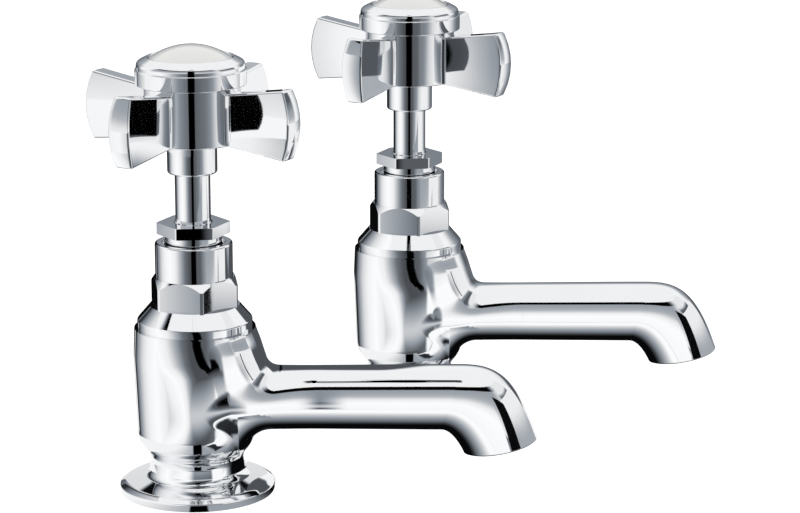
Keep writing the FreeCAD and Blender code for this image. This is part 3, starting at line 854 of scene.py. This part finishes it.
class Finish:
    """A material, or the world, under construction."""

    def __init__(self, name, world=None):
        self.material = world or bpy.data.materials.new(name)
        self.material.use_nodes = True
        self.tree = self.material.node_tree
        self.tree.nodes.clear()

    def node(self, kind, settings=None, inputs=None, out=0):
        made = self.tree.nodes.new(kind)
        for key, value in (settings or {}).items():
            if key == "stops":
                while len(made.color_ramp.elements) < len(value):
                    made.color_ramp.elements.new(0.5)
                for element, (place, colour) in zip(made.color_ramp.elements, value):
                    element.position, element.color = place, colour
            else:
                setattr(made, key, value)
        for key, value in (inputs or {}).items():
            if isinstance(value, Value):
                self.tree.links.new(value.socket, made.inputs[key])
            else:
                made.inputs[key].default_value = value
        return Value(self, made.outputs[out])

    def finish(self, shader, kind="ShaderNodeOutputMaterial"):
        output = self.tree.nodes.new(kind)
        self.tree.links.new(shader.socket, output.inputs["Surface"])
        return self.material


def place_of(finish, scale):
    """Object coordinates, so many to the metre."""
    coordinates = finish.node("ShaderNodeTexCoord", out="Object")
    return finish.node("ShaderNodeVectorMath", {"operation": "SCALE"}, {0: coordinates, "Scale": scale})


def noise(finish, scale, detail):
    """Soft random field of so many blobs to the metre."""
    return finish.node("ShaderNodeTexNoise", {"noise_dimensions": "3D"},
                       {"Vector": place_of(finish, scale), "Scale": 1.0, "Detail": detail})


def blend_colours(finish, factor, low, high):
    """Colour between two, by a factor."""
    return finish.node("ShaderNodeMix", {"data_type": "RGBA"}, {0: factor, 6: low, 7: high}, out=2)


def chrome():
    """Polished chrome plate: faint wipe marks in its gloss, and a ripple too shallow to see but in lines."""
    finish = Finish("polished_chrome")
    wipes = noise(finish, scale=90.0, detail=4.0)
    ripple = noise(finish, scale=140.0, detail=1.0)
    colour = blend_colours(finish, wipes, (0.86, 0.87, 0.885, 1), (0.90, 0.905, 0.915, 1))
    bump = finish.node("ShaderNodeBump", None, {"Strength": 0.02, "Distance": 0.0002, "Height": ripple})
    return finish.finish(finish.node("ShaderNodeBsdfPrincipled", None, {
        "Base Color": colour, "Metallic": 1.0, "Roughness": 0.025 + wipes * 0.03, "Normal": bump}))


def plain_finish(name, low, high, roughness, grain, metallic=0.0, coat=0.0, depth=0.3):
    """Solid finish whose colour and gloss drift between two values, with a fine grain in its surface."""
    finish = Finish(name)
    drift = noise(finish, grain, detail=4.0)
    fine = noise(finish, grain * 8, detail=2.0)
    bump = finish.node("ShaderNodeBump", None, {"Strength": depth, "Distance": 0.0002, "Height": fine})
    return finish.finish(finish.node("ShaderNodeBsdfPrincipled", None, {
        "Base Color": blend_colours(finish, drift, low + (1,), high + (1,)), "Metallic": metallic,
        "Roughness": roughness + drift * 0.08, "Coat Weight": coat, "Normal": bump}))


FINISHES = {
    "chrome": chrome(),
    "porcelain": plain_finish("glazed_porcelain", (0.93, 0.925, 0.9), (0.95, 0.945, 0.925), roughness=0.04,
                              grain=60.0, coat=1.0, depth=0.01),
    "brass": plain_finish("turned_brass", (0.70, 0.53, 0.25), (0.80, 0.64, 0.34), roughness=0.22, grain=300.0,
                          metallic=1.0),
    "steel": plain_finish("zinc_plated_steel", (0.55, 0.56, 0.58), (0.66, 0.67, 0.68), roughness=0.3,
                          grain=300.0, metallic=1.0),
    "rubber": plain_finish("black_rubber", (0.02, 0.02, 0.021), (0.035, 0.035, 0.036), roughness=0.6,
                           grain=400.0),
    "foam_rubber": plain_finish("foam_rubber", (0.05, 0.05, 0.05), (0.09, 0.09, 0.09), roughness=0.8,
                                grain=900.0, depth=0.9),
    "fibre": plain_finish("vulcanised_fibre", (0.36, 0.09, 0.05), (0.46, 0.14, 0.08), roughness=0.5,
                          grain=500.0),
    "packing": plain_finish("gland_packing", (0.74, 0.73, 0.69), (0.82, 0.81, 0.77), roughness=0.6,
                            grain=500.0),
}
FINISHES["chrome_rod"] = FINISHES["chrome"]

# Pieces of both taps

PIECES = [
    ("body_casting", body_grids, "root", "chrome", ("body",)),
    ("tail_thread", tail_thread_grids, "root", "chrome", ()),
    ("bonnet", headwork_grids, "root", "chrome", ("headwork",)),
    ("gland", gland_grids, "root", "chrome", ("gland_nut",)),
    ("rising_spindle", spindle_grids, "handle", "chrome_rod", ("spindle",)),
    ("cross_handle", crosshead_grids, "handle", "chrome", ("crosshead",)),
    ("bezel", ring_grids, "handle", "chrome", ("index_ring",)),
    ("porcelain_dome", dome_grids, "handle", "porcelain", ("index_dome",)),
    ("lock_nut", backnut_grids, "root", "brass", ("backnut",)),
    ("foam_ring", lambda: washer_grids("deck_seal", edge=0.2), "root", "foam_rubber", ("deck_seal",)),
    ("rim_washer", lambda: washer_grids("clamp_washer", edge=0.3), "root", "fibre", ("clamp_washer",)),
]
for name, make, body, slot, replaced in PIECES:
    grids = make()
    for tap in TAPS:
        owner = "root" if body == "root" else tap + "_" + body
        add_piece(tap, name, grids, owner, FINISHES[slot], replaced)

SLOTS = {row["node"]: row["material_slot"] for row in frame["record"]["subparts"]}
for node, holder in frame["nodes"].items():
    holder.data.materials.clear()
    holder.data.materials.append(FINISHES[SLOTS[node]])


# Studio: floor, sheets of painted reflection for the chrome, and world in metres

FLOOR_HALF = 6.0
FLOOR_COLOUR = 0.8
FLOOR_GLOW = 0.62
SKIRT_HALF = 1.2
SKIRT_Z = 0.0002
STUDIO_R = 0.95
STUDIO_CENTRE = 0.05
WALL_LEVELS = (0.001, 1.18)
WALL_COLUMNS = 96
# Top sheet of painted reflection; TOP_BAR_DARK is how dark its painted bars are
TOP_SHEET_LOW = (-2.5, -1.15)
TOP_SHEET_HIGH = (2.5, 2.8)
TOP_SHEET_Z = 1.4
TOP_REFLECTION = 0.98
TOP_BAR_DARK = 0.95
# Tint of the painted reflections: cool grey where they are weak, white where strong, turning between two
# strengths
COOL = (0.82, 0.90, 1.0, 1)
PLAIN = (1.0, 1.0, 1.0, 1)
COOL_REFLECTIONS = (0.25, 0.85)

# Cards of painted reflection round each tap, in mm from its axis
CARD_FOOT = 0.3
CARD_R = 60.0
CARD_TOP = {"hot": 100.0, "cold": 135.0}
CARD_BACK = {"hot": 1.0, "cold": 0.1}
TWIST = {"hot": 0.0, "cold": 4.4}
SPOUT_CARD_X = 30.0
SPOUT_CARD_END = 125.0
SPOUT_CARD_TOP = 78.0
SPOUT_END_X = 145.0
SPOUT_END_Y = 40.0
SPOUT_END_TOP = 60.0
MOUTH_CARD = [(112, -30), (138, -30)]
MOUTH_CARD_TOP = 50.0
BLACK_R = 45.0
BLACK_TOP = 135.0
BLACK_TURNS = {"left": (-160, -130), "right": (145, 160)}

# Soft edges of the painted light and shade, each as (from, to): turns in degrees, heights and places in mm
# from a tap's axis. A pair of edges is where a patch begins and where it ends; LIGHTS are the two painted
# brightnesses.
DARK_GAP_TURNS = (-3.5, -1.5), (11.0, 13.0)
LOW_HEIGHTS, LOW_START, LOW_SHARES = (8.0, 50.0), (0.0, 14.0), (0.3, 1.0)
NEAR_HEIGHTS, NEAR_START, NEAR_LIGHTS = (8.0, 32.0), (4.0, 16.0), (0.1, 0.85)
SHIFT_TURNS, SHIFTS = (-25.0, 5.0), (60.0, 25.0)
LIFTED_TURNS = (-112.0, -95.0)
STRIP_EDGE, STRIP_FOOT = (-0.5, 1.5), (26.0, 33.0)
RIGHT_EDGE, RIGHT_FOOT = (4.0, 8.0), (25.0, 32.0)
RIGHT_X, RIGHT_LIGHTS = (20.0, 40.0), (0.13, 0.34)
SPOUT_LIGHT_X = (38.0, 48.0)
BACK_TOP, BACK_FOOT = (100.0, 130.0), (28.0, 33.0)
BACK_TOP_X, BACK_TOP_FALL = (-12.0, 8.0), 55.0
BLACK = 0.003
BLACK_FOOT, BLACK_LOW_LIGHT = (32.0, 38.0), 0.8
MOUTH_BACK_LIGHT = 0.8
END_HEIGHTS, END_LIGHTS = (20.0, 42.0), (0.46, 0.95)
CLOSE_X, CLOSE_LIGHTS = (-5.0, 25.0), (0.42, 1.0)
CREASE_X = (15.0, 21.0), (30.0, 36.0)
CREASE_Y = (-57.0, -50.0), (-30.0, -24.0)
CREASE_SHADE = 0.97
SPOUT_X = (12.0, 26.0), (128.0, 140.0)
SPOUT_Y = (-61.0, -59.0), (46.0, 50.0)
OUTSIDE = (58.0, 64.0)
BETWEEN_TAPS = (48.0, 52.0)
FRONT_WALL_TURNS = (-94.0, -80.0), (50.0, 75.0)
RIGHT_WALL_TURNS = (60.0, 72.0), (106.0, 114.0)
BACK_WALL_TURNS = (115.0, 140.0)
TOP_BAR_X = (-60.0, -20.0), (50.0, 80.0)
TOP_BAR_Y = (-640.0, -590.0), (-440.0, -390.0)
TOP_BAR_RAGGED = 500.0

# Painted brightness of the reflections along a turn or a height, and along y under the spout. The stops of
# the front cards' painted dark strip are its place and its half width, as shares of the two numbers above
# them.
BRIGHTEST = 1.2
LEFT_STOPS = [(-180, 0.02), (-124, 0.03), (-117, 0.25), (-106, 0.52), (-95, 0.8), (-82, 1.0), (-64, 1.1),
              (-47, 0.96), (-33, 0.54), (-19.5, 0.2), (-6, 0.09), (20, 0.10), (35, 0.17), (60, 0.4),
              (180, 0.4)]
STRIP_REACH = 40.0
STRIP_STOPS = [(0, 0.95), (27, 0.8), (34, 0.68), (38, 0.48), (41, 0.33), (45, 0.2), (60, 0.125), (80, 0.125)]
STRIP_HALF = 10.0
STRIP_WIDTHS = [(0, 0.2), (30, 0.4), (36, 0.85), (41, 0.85), (46, 0.8), (80, 0.8)]
SPOUT_STOPS = [(0, 1.05), (26, 1.1), (36, 0.97), (39.6, 0.88), (43, 0.74), (47, 0.62), (51, 0.53), (59, 0.46),
               (71, 0.42), (80, 0.40)]
AROUND_STOPS = [(-180, 0.2), (-168, 0.1), (-150, 0.03), (-130, 0.03), (-118, 0.45), (-90, 1.0), (-60, 1.05),
                (-45, 0.8), (-33, 0.53), (-21, 0.31), (-9, 0.22), (14, 0.14), (37, 0.22), (49, 0.35),
                (62, 0.75), (80, 1.0), (100, 0.95), (112, 0.7), (127, 0.33), (140, 0.2), (168, 0.15),
                (180, 0.2)]
UNDER_STOPS = [(-60, 1.1), (-42, 1.08), (-30, 0.66), (-18, 0.31), (-8, 0.05), (-3, BLACK), (60, BLACK)]
FRONT_WALL_STOPS = [(0, 0.95), (90, 0.85), (250, 0.55), (420, 0.45), (780, 0.40), (800, 0.0), (1200, 0.0)]
RIGHT_WALL_STOPS = [(0, 0.8), (100, 0.5), (200, 0.42), (400, 0.13), (550, 0.13), (650, 0.9), (1200, 0.9)]
BACK_WALL_STOPS = [(0, 0.12), (180, 0.16), (300, 0.3), (550, 0.5), (700, 0.95), (1200, 1.0)]


def studio_piece(name, places, faces, material):
    """Plain faces that belong to the studio, not to the taps."""
    mesh = bpy.data.meshes.new(name)
    mesh.from_pydata(places, [], faces)
    mesh.materials.append(material)
    made = bpy.data.objects.new(name, mesh)
    bpy.context.scene.collection.objects.link(made)
    return made


def reflection_sheet(name, places, faces, material):
    """Sheet of painted reflection: it is mirrored in the chrome, lights nothing, and the camera misses it."""
    made = studio_piece(name, places, faces, material)
    made.visible_camera = False
    made.visible_diffuse = False
    made.visible_shadow = False


def level_face(low, high, z):
    """Corners and face of a level rectangle from low to high (x, y)."""
    (x0, y0), (x1, y1) = low, high
    return [(x0, y0, z), (x1, y0, z), (x1, y1, z), (x0, y1, z)], [(0, 1, 2, 3)]


def standing(name, plan, top, material):
    """Upright card of painted reflection along a line of plan points in mm; its painted front is on the left
    of the line.
    """
    count = len(plan)
    places = [(x * MM, y * MM, z * MM) for z in (CARD_FOOT, top) for x, y in plan]
    reflection_sheet(name, places, [(i + 1, i, i + count, i + count + 1) for i in range(count - 1)], material)


def arc(radius, first, last, steps=24):
    """Plan points on a circle, from turn to turn in degrees from the camera's side, towards +X."""
    turns = np.radians(np.linspace(first, last, steps))
    return np.stack([radius * np.sin(turns), -radius * np.cos(turns)], -1)


def place_from(finish, centre, twist=0.0):
    """Where a point of the tent stands, in mm: x and y from a tap's axis, and height. x is counted from
    twist degrees to the left."""
    place = finish.node("ShaderNodeTexCoord", out="Object")
    x = finish.node("ShaderNodeSeparateXYZ", None, {0: place}, out="X")
    y = Value(finish, x.socket.node.outputs["Y"])
    z = Value(finish, x.socket.node.outputs["Z"])
    x, y, z = (x - centre[0]) * 1000.0, (y - centre[1]) * 1000.0, z * 1000.0
    return x - y * math.tan(math.radians(twist)) if twist else x, y, z


def turn_of(x, y):
    """Turn round the axis in degrees from the camera's side, towards +X."""
    return x.finish.node("ShaderNodeMath", {"operation": "ARCTAN2"}, {0: x, 1: 0 - y}) * (180 / math.pi)


def curve(value, stops):
    """Brightness along a value, from stops (value, brightness)."""
    low, high = stops[0][0], stops[-1][0]
    share = (value - low) * (1 / (high - low))
    return value.finish.node("ShaderNodeValToRGB", {"stops": [
        ((a - low) / (high - low), (v / BRIGHTEST,) * 3 + (1,)) for a, v in stops]}, {0: share}) * BRIGHTEST


def step(value, low, high):
    """Smooth step of a value from 0 at low to 1 at high."""
    return value.finish.node("ShaderNodeMapRange", {"interpolation_type": "SMOOTHSTEP"},
                             {0: value, 1: low, 2: high, 3: 0.0, 4: 1.0})


def patch(value, first, last):
    """1 from one soft edge to another, and 0 outside them."""
    return step(value, *first) * (1 - step(value, *last))


def mixed(factor, low, high):
    """Number between two, by a factor."""
    return low + (high - low) * factor


def reflection_glow(finish, strength):
    """Painted reflection glow of a strength, no lamp: white where it is strong and a painted cool grey where
    it is weak.
    """
    tint = PLAIN
    if isinstance(strength, Value):
        tint = blend_colours(finish, step(strength, *COOL_REFLECTIONS), COOL, PLAIN)
    return finish.finish(finish.node("ShaderNodeEmission", None, {"Color": tint, "Strength": strength}))


def two_sided(finish, light, behind):
    """Painted reflection on a card's front side, and another on its back."""
    back = finish.node("ShaderNodeNewGeometry", out="Backfacing")
    return reflection_glow(finish, mixed(back, light, behind))


def floor():
    """Pale floor at the bath rim, white to the camera and in the chrome, with the taps' own soft shadow."""
    finish = Finish("pale_floor")
    path = finish.node("ShaderNodeLightPath", out="Is Camera Ray")
    shiny = Value(finish, path.socket.node.outputs["Is Glossy Ray"])
    diffuse = finish.node("ShaderNodeBsdfDiffuse", None, {"Color": (FLOOR_COLOUR,) * 3 + (1,)})
    light = finish.node("ShaderNodeEmission", None, {"Color": PLAIN, "Strength": FLOOR_GLOW})
    both = finish.node("ShaderNodeAddShader", None, {0: diffuse, 1: light})
    shared = finish.node("ShaderNodeMixShader", None, {0: path + shiny, 1: diffuse, 2: both})
    studio_piece("floor", *level_face([-FLOOR_HALF] * 2, [FLOOR_HALF] * 2, 0), finish.finish(shared))


def dark_strip(turn):
    """1 in the narrow painted dark gap between the left and right painted reflections."""
    return patch(turn, *DARK_GAP_TURNS)


def painted_card_reflection(finish, tap):
    """Painted reflection of a tap's front cards: white at the left and near the floor, falling to the right.
    A painted dark strip rises in front of the tap and bends towards the spout lower down, with grey right of
    it; in front of the spout it is white below and grey above."""
    x, y, z = place_from(finish, AXES[tap], TWIST[tap])
    turn = turn_of(x, y)
    low = (1 - step(z, *LOW_HEIGHTS)) * mixed(step(z, *LOW_START), *LOW_SHARES)
    near = (1 - step(z, *NEAR_HEIGHTS)) * mixed(step(z, *NEAR_START), *NEAR_LIGHTS)
    shift = low * mixed(step(turn, *SHIFT_TURNS), *SHIFTS)
    lifted = curve(turn - shift, LEFT_STOPS).maths("MAXIMUM", near)
    side = curve(turn, LEFT_STOPS).maths("MAXIMUM", lifted * step(turn, *LIFTED_TURNS))
    from_strip = x - curve(z, STRIP_STOPS) * STRIP_REACH
    half = curve(z, STRIP_WIDTHS) * STRIP_HALF
    strip = 1 - step(from_strip.maths("ABSOLUTE") - half, *STRIP_EDGE)
    side = side * (1 - strip * step(z, *STRIP_FOOT))
    right = step(from_strip, *RIGHT_EDGE) * step(z, *RIGHT_FOOT)
    side = mixed(right, side, mixed(step(x, *RIGHT_X), *RIGHT_LIGHTS))
    return mixed(step(x, *SPOUT_LIGHT_X), side, curve(z, SPOUT_STOPS))


def cards(tap):
    """Cards of painted reflection round one tap: bright ones in front of it and of its spout, whose backs are
    painted dark above the floor behind the cold tap; black ones at both sides behind and under the mouth,
    which are painted shade for the chrome to mirror; and a grey one past the spout."""
    centre = AXES[tap]
    middle = centre[:2] / MM
    finish = Finish(tap + "_front_card")
    x, _, z = place_from(finish, centre)
    # Backs of the front cards: the cold tap's are painted dark between their foot and top, and all are bright
    # elsewhere
    above = step(z + BACK_TOP_FALL * step(x, *BACK_TOP_X), *BACK_TOP)
    bright = above.maths("MAXIMUM", 1 - step(z, *BACK_FOOT))
    lit = two_sided(finish, painted_card_reflection(finish, tap), mixed(bright, CARD_BACK[tap], 1.0))
    front = np.concatenate([arc(CARD_R, -130, 0), [(SPOUT_CARD_X, -CARD_R)]])
    spout = [(SPOUT_CARD_X, -CARD_R), (SPOUT_CARD_END, -CARD_R)]
    # Black cards at the sides and under the mouth: painted shade for the chrome to mirror
    finish = Finish(tap + "_black_card")
    height = place_from(finish, centre)[2]
    black = two_sided(finish, mixed(step(height, *BLACK_FOOT), BLACK_LOW_LIGHT, BLACK), 1.0)
    mouth = two_sided(Finish(tap + "_mouth_card"), BLACK, MOUTH_BACK_LIGHT)
    finish = Finish(tap + "_end_card")
    height = place_from(finish, centre)[2]
    grey = two_sided(finish, mixed(step(height, *END_HEIGHTS), *END_LIGHTS), 1.0)
    rows = [("front_card", front, CARD_TOP[tap], lit), ("spout_card", spout, SPOUT_CARD_TOP, lit)]
    rows += [("black_card_" + side, arc(BLACK_R, *turns), BLACK_TOP, black)
             for side, turns in BLACK_TURNS.items()]
    rows += [("mouth_card", MOUTH_CARD, MOUTH_CARD_TOP, mouth),
             ("end_card", [(SPOUT_END_X, -CARD_R), (SPOUT_END_X, SPOUT_END_Y)], SPOUT_END_TOP, grey)]
    for name, plan, top, material in rows:
        standing(tap + "_" + name, (np.array(plan) + middle).tolist(), top, material)


def painted_floor_reflection(finish, tap):
    """Painted reflection of the floor round one tap: grey near the tap with the painted dark strip and a
    painted dark patch under the flare, white in front of the spout and painted black under and behind it, and
    further out the same round of painted light as the sheets round it."""
    x, y, _ = place_from(finish, AXES[tap], TWIST[tap])
    turn = turn_of(x, y)
    far = (x * x + y * y).maths("SQRT")
    gap = 1 - dark_strip(turn)
    close = mixed(step(0 - x, *CLOSE_X), *CLOSE_LIGHTS) * gap
    inner = mixed(step(x, *SPOUT_X[0]), close, curve(y, UNDER_STOPS))
    # Painted shade: a dark patch under the flare's crease, for the chrome to mirror
    inner = inner * (1 - CREASE_SHADE * (patch(x, *CREASE_X) * patch(y, *CREASE_Y)))
    outside = step(far, *OUTSIDE) * (1 - patch(x, *SPOUT_X) * patch(y, *SPOUT_Y))
    return mixed(outside, inner, curve(turn, AROUND_STOPS) * gap)


def skirt():
    """Sheet of painted reflection lying on the floor, with the painted round of the front tap before it and
    of the rear tap behind."""
    finish = Finish("floor_painted_reflections")
    front, rear = painted_floor_reflection(finish, "hot"), painted_floor_reflection(finish, "cold")
    light = mixed(step(place_from(finish, (0, 0))[1], *BETWEEN_TAPS), front, rear)
    reflection_sheet("floor_painted_reflections", *level_face([-SKIRT_HALF] * 2, [SKIRT_HALF] * 2, SKIRT_Z), reflection_glow(finish, light))


def wall():
    """Round wall of painted reflection, which lights nothing. In front it is grey with the painted dark
    strip, darker upwards to a black gap under the top sheet; it is white at the sides, with a grey patch at
    the right, and behind it is painted dark near the floor and brighter upwards."""
    finish = Finish("painted_reflection_wall")
    x, y, z = place_from(finish, AXES["hot"])
    turn = turn_of(x, y)
    sides = mixed(patch(turn, *RIGHT_WALL_TURNS), 1.0, curve(z, RIGHT_WALL_STOPS))
    behind = mixed(step(turn.maths("ABSOLUTE"), *BACK_WALL_TURNS), sides, curve(z, BACK_WALL_STOPS))
    front = curve(z, FRONT_WALL_STOPS) * (1 - dark_strip(turn))
    light = mixed(patch(turn, *FRONT_WALL_TURNS), behind, front)
    a = np.linspace(0, 2 * math.pi, WALL_COLUMNS, endpoint=False)
    ring = STUDIO_CENTRE + STUDIO_R * np.stack([np.cos(a), np.sin(a)], -1)
    places = [(px, py, height) for height in WALL_LEVELS for px, py in ring.tolist()]
    around = [(i, (i + 1) % WALL_COLUMNS) for i in range(WALL_COLUMNS)]
    reflection_sheet("painted_reflection_wall", places, [(i, j, j + WALL_COLUMNS, i + WALL_COLUMNS) for i, j in around],
          reflection_glow(finish, light))


def painted_top_reflection():
    """Top sheet of painted reflection over both taps, with a ragged painted dark bar above each, mirrored
    along the top of its spout.
    """
    finish = Finish("painted_top_reflection")
    # Painted dark bars in the top sheet: shade mirrored along the top of each spout
    bars = 0.0
    for tap in TAPS:
        x, y, _ = place_from(finish, AXES[tap])
        ragged = y + (noise(finish, scale=9.0, detail=2.0) - 0.5) * TOP_BAR_RAGGED
        bars = bars + patch(ragged, *TOP_BAR_Y) * patch(x, *TOP_BAR_X)
    reflection_sheet("painted_top_reflection", *level_face(TOP_SHEET_LOW, TOP_SHEET_HIGH, TOP_SHEET_Z),
          reflection_glow(finish, TOP_REFLECTION * (1 - TOP_BAR_DARK * bars)))


floor()
skirt()
wall()
for tap in TAPS:
    cards(tap)
painted_top_reflection()

world = bpy.data.worlds.new("studio")
bpy.context.scene.world = world
air = Finish("studio", world)
unlit = 1.0 - air.node("ShaderNodeLightPath", out="Is Glossy Ray")
air.finish(air.node("ShaderNodeBackground", None, {"Strength": unlit}), "ShaderNodeOutputWorld")

# Camera at the photograph's viewing angle
CAMERA_PLACE = (0.0652, -0.8914, 0.2933)
CAMERA_PITCH = 13.64
LENS = 130.5
SENSOR = 36.0
NEAREST = 0.05
lens = bpy.data.cameras.new("camera")
lens.lens = LENS
lens.sensor_width = SENSOR
lens.clip_start = NEAREST
camera = bpy.data.objects.new("camera", lens)
camera.location = CAMERA_PLACE
camera.rotation_euler = (math.radians(90 - CAMERA_PITCH), 0, 0)
bpy.context.scene.collection.objects.link(camera)
bpy.context.scene.camera = camera
bpy.context.scene.view_settings.view_transform = "Standard"
